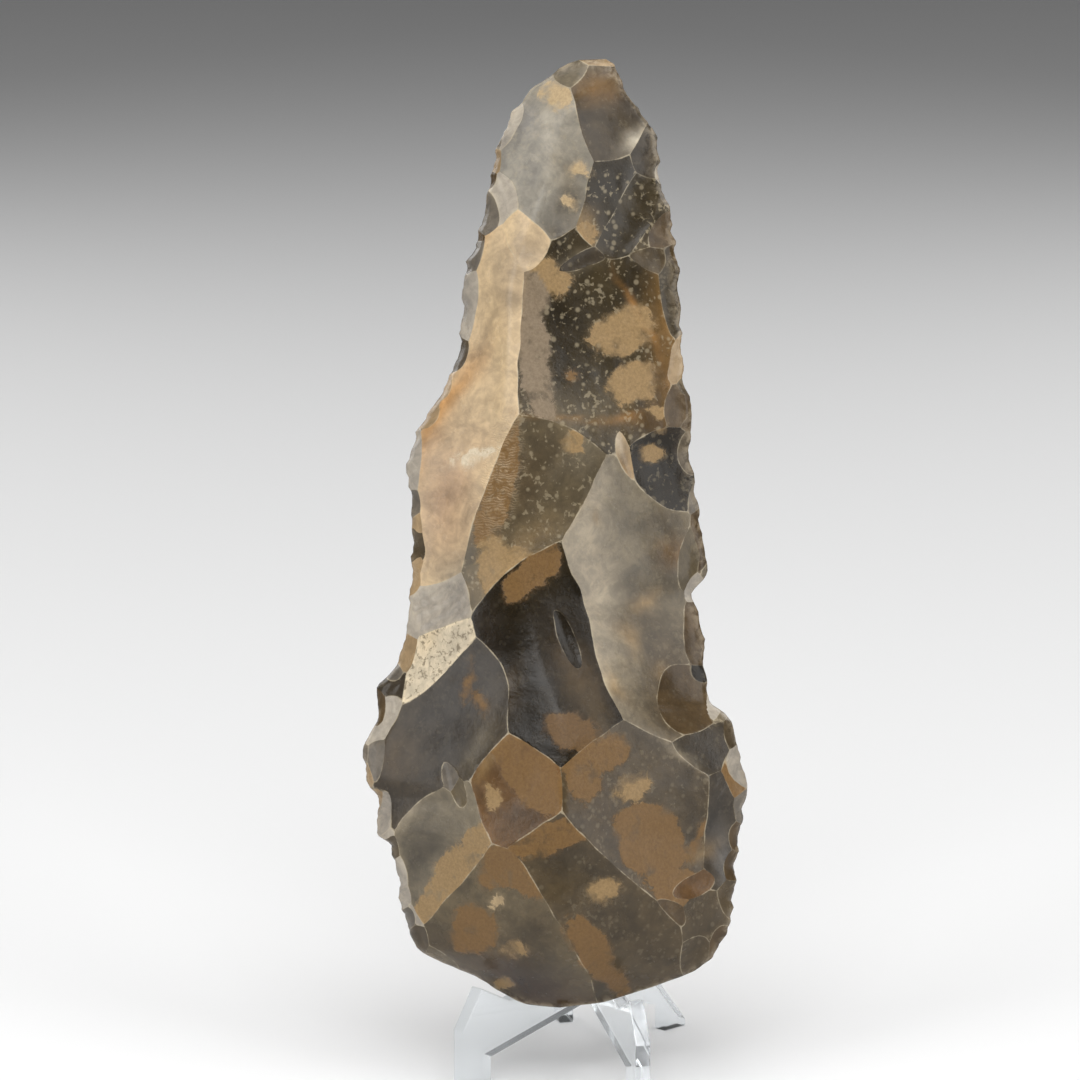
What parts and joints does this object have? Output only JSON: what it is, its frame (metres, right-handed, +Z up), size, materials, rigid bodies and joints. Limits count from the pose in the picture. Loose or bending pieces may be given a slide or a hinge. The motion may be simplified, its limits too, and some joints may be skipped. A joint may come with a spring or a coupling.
{
  "type": "flint hand axe on a clear stand",
  "caption": "Long pointed flint hand axe, flaked all over, standing point up and leaning back in a small clear cradle of crossed acrylic plates.",
  "frame": {"origin": "on the floor, under the middle of the whole part", "axes": "+Z up along the axe towards its point; -Y towards the viewer, the side that the flat face of the axe looks to; +X to the viewer's right"},
  "size_m": [0.0806, 0.066, 0.2121],
  "materials": {
    "flint": "semi-gloss knapped flint, grey to brown, with tan and cream patina",
    "acrylic": "clear polished sheet"
  },
  "bodies": {
    "root": {"hand_axe": "flint", "stand_plate_left": "acrylic", "stand_plate_right": "acrylic"}
  },
  "joints": []
}
